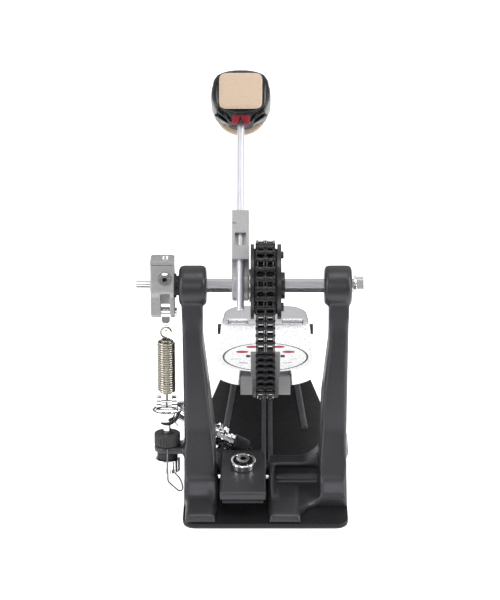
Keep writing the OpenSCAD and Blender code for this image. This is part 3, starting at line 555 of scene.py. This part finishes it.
def relax(mesh, sweeps, weight_of):
    """Moves each vertex towards its neighbours' mean, as often as the largest weight asks."""
    count = len(mesh.vertices)
    places = np.empty(count * 3)
    mesh.vertices.foreach_get("co", places)
    places = places.reshape(-1, 3)
    edges = np.empty(len(mesh.edges) * 2, dtype=np.int64)
    mesh.edges.foreach_get("vertices", edges)
    a, b = edges.reshape(-1, 2).T
    degree = np.bincount(a, minlength=count) + np.bincount(b, minlength=count)
    weight = weight_of(places)[:, None]
    for _ in range(sweeps):
        mean = np.empty_like(places)
        for k in range(3):
            mean[:, k] = (np.bincount(a, places[b, k], count)
                          + np.bincount(b, places[a, k], count)) / degree
        places += 0.6 * weight * (mean - places)
    mesh.vertices.foreach_set("co", places.ravel())
    mesh.update()


def everywhere_above(height):
    return lambda p: np.clip((p[:, 2] - height) / 0.002, 0, 1)


def tower_weight(p):
    """1 on the towers' shafts, 0 on bosses, feet and whatever is fitted close."""
    rise = np.clip((p[:, 2] - 0.034) / 0.02, 0, 1) * np.clip((AXLE.z - 0.024 - p[:, 2]) / 0.01, 0, 1)
    return rise * (np.abs(p[:, 0]) > 0.03) * (p[:, 0] > -0.0715)


def foot_weight(p):
    """1 on the front feet, above the floor plate."""
    return (np.clip((p[:, 2] - 0.0055) / 0.004, 0, 1) * np.clip((0.036 - p[:, 2]) / 0.01, 0, 1)
            * np.clip((-0.016 - p[:, 1]) / 0.006, 0, 1))


def soft_casting(node, voxel, sweeps, body, slot, material, height=-1.0):
    obj = welded_copy(node, node + "_cast")
    applied(obj, "REMESH", mode="VOXEL", voxel_size=voxel * MM, adaptivity=0.0)
    relax(obj.data, sweeps, everywhere_above(height))
    obj.data.materials.clear()
    obj.data.materials.append(material)
    obj.data.shade_smooth()
    finish_piece(obj, body, slot, node)
    return obj


def make_castings(materials):
    frame_piece = soft_casting("frame_casting", 0.9, 7, "frame", "casting_grey",
                               materials["casting_grey"], 0.0055)
    relax(frame_piece.data, 45, tower_weight)
    relax(frame_piece.data, 30, foot_weight)
    soft_casting("clamp_jaw", 0.6, 8, "jaw", "jaw_black", materials["jaw_black"])
    soft_casting("spring_rocker", 0.45, 5, "axle_set", "cast_grey", materials["cast_grey"])
    soft_casting("heel_block", 0.7, 6, "frame", "polished", materials["polished"], 0.0055)


# ---------------------------------------------------------------- beater head

# Height along the rod, half-width, half-depth and squareness of the head's body.
HEAD_RINGS = [(-22.3, 10.2, 10.2, 2), (-21.7, 11, 11, 2), (-18.2, 13.4, 13.4, 2.2),
              (-16.5, 16, 15.5, 2.6), (-14.5, 19.5, 18.4, 4), (-10, 22.2, 20.3, 6),
              (-4, 23.6, 20.8, 7), (6, 24, 20.8, 7), (12, 23, 20.8, 7), (16.5, 20.5, 20, 6),
              (18.5, 18.2, 18.5, 5), (20.5, 15.5, 16, 4), (22.5, 12, 12.5, 3), (24, 7, 7.5, 2),
              (24.5, 2, 2, 2)]
# Half-width over the shells, and how far they draw in at a height along the rod.
SHELL_REACH = 25.0
SHELL_EDGE = [(-15.5, 3.2), (-15, 1.6), (-12, 0.4), (-5, 0), (0, 0), (6, 0), (12, 0.5), (17, 1.6),
              (18.6, 3), (19, 4.4)]


def head_body(materials):
    rings = [[(x, y, z) for x, y in oval(a, b, n)] for z, a, b, n in HEAD_RINGS]
    body = loft("beater_body", rings, HEAD_FRAME, materials["shell_black"])
    cut(body, "rod_window", (-3.4, -16, -30), (3.4, 0, -18), HEAD_FRAME)
    weighted_normals(body)
    finish_piece(body, "head", "shell_black", "beater_core")


def head_shells(materials):
    """Glossy shells left and right, each a curved plate with soft edges."""
    for side in (-1, 1):
        rings = []
        for z, inner in SHELL_EDGE:
            reach = SHELL_REACH - inner - 0.017 * (z - 1) ** 2
            depth = 17.6 - 0.006 * (z - 1) ** 2 - (1.2 if inner > 3 else 0)
            rings.append([(side * (reach - 3.2 + 3.2 * x), depth * y, z)
                          for x, y in oval(1, 1, 3.4, 40)])
        shell = loft("shell_right" if side > 0 else "shell_left", rings, HEAD_FRAME,
                     materials["shell_black"])
        finish_piece(shell, "head", "shell_black", "beater_shell")


def head_struts(materials):
    """Two slanted ribs each side that tie the hub to the shells, with dark gaps between."""
    for side in (-1, 1):
        for row, low, high in (("front", (8, -7.5, -21), (19.5, -16.2, -14.5)),
                               ("rear", (10, -3, -21), (21.5, -6, -14.5))):
            ends = [Vector((side * x, y, z)) for x, y, z in (low, high)]
            name = f"strut_{'right' if side > 0 else 'left'}_{row}"
            strut = sweep(name, [ends[0], ends[0].lerp(ends[1], 0.5), ends[1]], 1.1, HEAD_FRAME,
                          materials["shell_black"], 12)
            finish_piece(strut, "head", "shell_black")


# How far the felt's outline draws in at a height above its seat.
FELT_CROWN = [(0, 1.2), (0.5, 0.35), (1.3, 0), (3.2, 0), (4.1, 0.35), (4.7, 1.2), (5.0, 2.6),
              (5.2, 6), (5.3, 11)]


def head_felts(materials):
    """Crowned felt pads: a rounded square facing the drum and a round one behind it."""
    for side, half_w, half_h, power, base, out in (("front", 17.8, 15.5, 7, -20.6, -1),
                                                   ("back", 22, 22, 2, 20.8, 1)):
        rings = []
        for depth, inset in FELT_CROWN:
            rings.append([(x, base + out * depth, z)
                          for x, z in oval(half_w - inset, half_h - inset, power, 96)])
        pad = loft("felt_pad_" + side, rings, HEAD_FRAME, materials["felt"])
        finish_piece(pad, "head", "felt", "felt_" + side)


def head_insert(materials):
    """Red insert that shows in the hub's front, split for the rod."""
    rings = [[(x, y, z) for x, y in oval(r, r, 2)]
             for z, r in ((-23.2, 8.2), (-22.9, 9.4), (-21.9, 11.3), (-18, 13.9), (-17.2, 14.2),
                          (-16.9, 13.4))]
    insert = loft("red_insert", rings, HEAD_FRAME, materials["insert_red"])
    cut(insert, "left_side", (-30, -30, -28), (-7.8, 30, -10), HEAD_FRAME)
    cut(insert, "right_side", (7.8, -30, -28), (30, 30, -10), HEAD_FRAME)
    cut(insert, "rear", (-30, -5, -28), (30, 30, -10), HEAD_FRAME)
    wedge = [(x, y, z) for y in (-30, 0) for x, z in ((-4.6, -27), (4.6, -27), (0, -17.4))]
    faces = [(0, 1, 2), (5, 4, 3), (0, 3, 4, 1), (1, 4, 5, 2), (2, 5, 3, 0)]
    carve(insert, mesh_object("rod_notch", wedge, faces, HEAD_FRAME))
    weighted_normals(insert)
    finish_piece(insert, "head", "insert_red", "beater_insert")


def make_head(materials):
    head_body(materials)
    head_shells(materials)
    head_struts(materials)
    head_felts(materials)
    head_insert(materials)


# ---------------------------------------------------------------- footboard trim

def board_frame():
    """Frame of the tread: origin at its ring's middle, -Y to the toe, Z out of the board."""
    low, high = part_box("board_ring")
    middle = (Vector(low) + Vector(high)) / 2
    slope = math.atan2(high[2] - low[2], high[1] - low[1])
    out = Vector((0, math.sin(slope), math.cos(slope)))
    return frame_at(middle, out)


# Places, lengths and turns in degrees of the right half's strokes; the left half mirrors them.
TREAD_STROKES = [(25, -12, 8, 0), (19, -30, 8, 28), (27, 10, 6, -12), (16, 24, 6, -30)]


def tread_marks(materials):
    """Fine printed strokes between the dots and the ring."""
    place = board_frame()
    for side in (-1, 1):
        for index, (x, y, length, turn) in enumerate(TREAD_STROKES):
            a = math.radians(side * turn)
            along = Vector((math.cos(a), math.sin(a), 0)) * length / 2
            middle = Vector((side * x, y, 0))
            mark = sweep(f"tread_mark_{index}_{'right' if side > 0 else 'left'}",
                         [middle - along, middle, middle + along], 0.3, place,
                         materials["inlay_dark"], 8)
            finish_piece(mark, "board", "inlay_dark")


# ---------------------------------------------------------------- spring

SPRING_FRAME = frame_at(Vector(JOINTS["stirrup_swing"]["pos_m"]) + SPRING_UP * 22.6 * MM, SPRING_UP)
HOOK_TOP, HOOK_LOW, HOOK_R = 40.4, 98.9, 4.4
COIL_TOP, COIL_END, COIL_TURNS, COIL_R, WIRE_R = 45.4, 94.0, 25, 7.5, 0.85
TURN_STEPS = 28
# The way the spring gear's cross bolt faces.
TO_DRUM = -(SPRING_FRAME.to_3x3() @ Vector((0, 1, 0)))


def spring_path():
    """Upper hook in the plane of the axle, coil drawn in at both ends, lower hook turned a quarter."""
    path = [(HOOK_R * math.cos(a), 0, -HOOK_TOP + HOOK_R * math.sin(a))
            for a in (math.radians(10 * i) for i in range(1, 28))]
    count = COIL_TURNS * TURN_STEPS
    for i in range(1, count):
        u = i / count
        a = math.tau * (i / TURN_STEPS - 0.25)
        bend = COIL_R - WIRE_R - 5 * max(0, 1 - 14 * u) - 5 * max(0, 14 * u - 13)
        spread = min(1, 40 * u, 40 * (1 - u))
        path.append((bend * math.cos(a), bend * math.sin(a) * spread,
                     -COIL_TOP - u * (COIL_END - COIL_TOP)))
    return path + [(0, HOOK_R * math.cos(a), -HOOK_LOW + HOOK_R * math.sin(a))
                   for a in (math.radians(90 - 10 * i) for i in range(27))]


def make_spring(materials):
    wire = sweep("spring_wire", spring_path(), WIRE_R, SPRING_FRAME, materials["spring_nickel"])
    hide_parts("spring")
    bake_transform(wire)


# ---------------------------------------------------------------- CAD nodes: finish and rounded edges

# Edge rounding in millimetres; nodes that aren't named get the default.
ROUNDING = {
    "footboard": 0.9, "beater_holder": 0.7, "rocker_cap": 0.4, "toe_blocks": 0.6,
    "base_plate": 0.4, "toe_bracket": 0.3, "sprocket_cam": 0.4, "wing_bolt": 0.8,
    "axle": 0.3, "spring_swivel": 0.8, "tension_rod": 0.5, "clamp_cap": 0.4,
}
DEFAULT_ROUNDING = 0.15
SHARP_ANGLE = math.radians(32)
NO_ROUNDING = {"bearing_balls", "board_ring", "board_dots", "base_screws", "bearing_inner",
               "bearing_outer", "safety_clip"}


def dress_cad_nodes(materials):
    for part in frame["record"]["subparts"]:
        name, slot = part["node"], part["material_slot"]
        obj = NODES[name]
        obj.data.materials.clear()
        obj.data.materials.append(materials[slot])
        obj.data.shade_smooth()
        weld = obj.modifiers.new("joined_corners", "WELD")
        weld.merge_threshold = 1e-6
        if name not in NO_ROUNDING:
            bevel = obj.modifiers.new("rounded_edges", "BEVEL")
            bevel.width = ROUNDING.get(name, DEFAULT_ROUNDING) * MM
            bevel.segments = 3
            bevel.limit_method = "ANGLE"
            bevel.angle_limit = SHARP_ANGLE
            bevel.use_clamp_overlap = True
        weighted_normals(obj, 80)


def darken_inside(node, center, axis, radius, depth, material):
    """Gives a CAD node's faces near an axis, and at least depth below its top, another material.
    center is a point on the axis at the top; axis points outwards."""
    mesh = NODES[node].data
    mesh.materials.append(material)
    index = len(mesh.materials) - 1
    for face in mesh.polygons:
        away = face.center - center
        along = away.dot(axis)
        if along < -depth and (away - along * axis).length < radius:
            face.material_index = index


def top_of(node, axis):
    """The point of a node's own axis at the height of its outermost vertex along that axis."""
    points = np.array([v.co[:] for v in NODES[node].data.vertices])
    middle = Vector((points.min(axis=0) + points.max(axis=0)) / 2)
    reach = float((points @ np.array(axis)).max()) - middle.dot(axis)
    return middle + reach * axis


# Height of the floor plate's flat face above the floor.
PLATE_FACE = 4.5 * MM


def paint_rib_highlight():
    """Painted highlight: the floor plate's raised ribs get a lighter satin colour, standing for the
    light their tops catch.
    """
    c = (0.06, 0.06, 0.066)
    p = Paint("rib_painted_highlight", c, 0.34, 0.3)
    p.tint(p.grain(400), scaled(c, 0.8), scaled(c, 1.25))
    p.gloss(p.grain(300), 0.3, 0.42)
    mesh = NODES["base_plate"].data
    mesh.materials.append(p.mat)
    for face in mesh.polygons:
        if face.center.z > PLATE_FACE + 0.2 * MM:
            face.material_index = len(mesh.materials) - 1


# Slope of the clamp jaw's top, down to the drum.
JAW_SLOPE = math.radians(8.2)


def paint_socket_shade():
    """Painted shade: the screws' key sockets and the cap's recess get a near-black colour, so they
    stay dark in a bright studio.
    """
    dark = recess_painted_shade()
    cap_axis = Vector((0, -math.sin(JAW_SLOPE), math.cos(JAW_SLOPE)))
    darken_inside("clamp_cap", top_of("clamp_cap", cap_axis), cap_axis, 8.4 * MM, 0.3 * MM, dark)
    darken_inside("clamp_bolt", top_of("clamp_bolt", cap_axis), cap_axis, 3.3 * MM, 0.2 * MM, dark)
    darken_inside("rocker_bolt", top_of("rocker_bolt", TO_DRUM), TO_DRUM, 2.6 * MM, 0.2 * MM,
                  dark)


make_camera()
make_studio()
MATERIALS = material_of_slot()
dress_cad_nodes(MATERIALS)
NODES["beater_rod"].data.materials[0] = satin_rod()
make_castings(MATERIALS)
make_head(MATERIALS)
make_spring(MATERIALS)
tread_marks(MATERIALS)
paint_rib_highlight()
paint_socket_shade()
